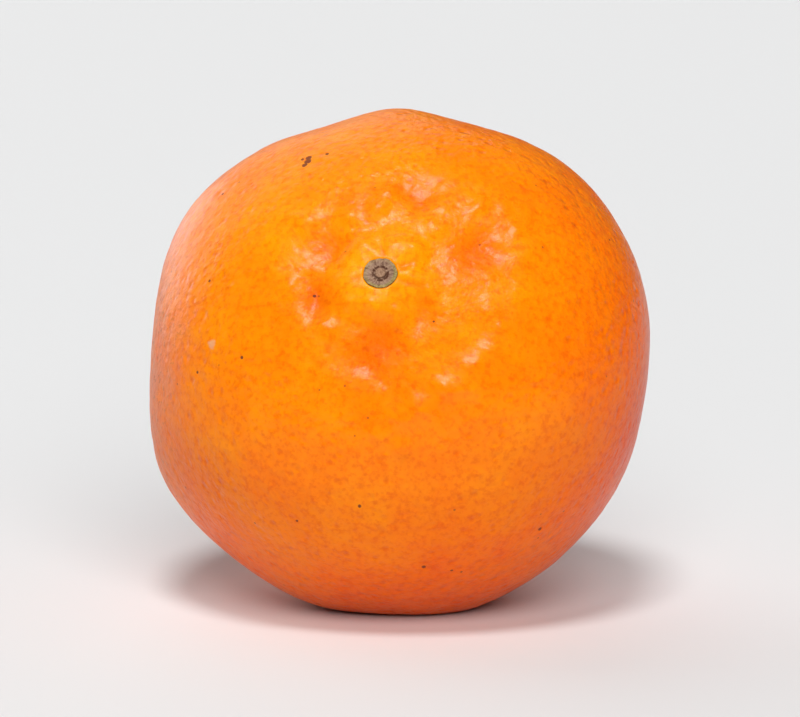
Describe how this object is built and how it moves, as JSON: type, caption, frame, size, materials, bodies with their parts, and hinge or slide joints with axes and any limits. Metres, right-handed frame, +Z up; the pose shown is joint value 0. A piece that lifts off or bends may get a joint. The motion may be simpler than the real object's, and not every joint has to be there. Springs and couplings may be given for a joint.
{
  "type": "mandarin",
  "caption": "Whole ripe mandarin lying on its side on a small flat spot, with a dimpled stem end, a calyx button and a short cut stem.",
  "frame": {"origin": "on the surface the fruit rests on, in the middle of its bounding box in X and Y", "axes": "+Z up, out of the resting flat; the stem end faces -Y, climbs about 33 degrees and is turned about 7 degrees to -X"},
  "size_m": [0.072, 0.0672, 0.0706],
  "materials": {
    "peel": "waxy citrus peel with fine oil glands, semi-gloss",
    "sepal": "dry olive-green and brown calyx, matt",
    "bark": "dry corky cut stem, matt"
  },
  "bodies": {
    "root": {"fruit": "peel", "calyx": "sepal", "stem_stub": "bark"}
  },
  "joints": []
}
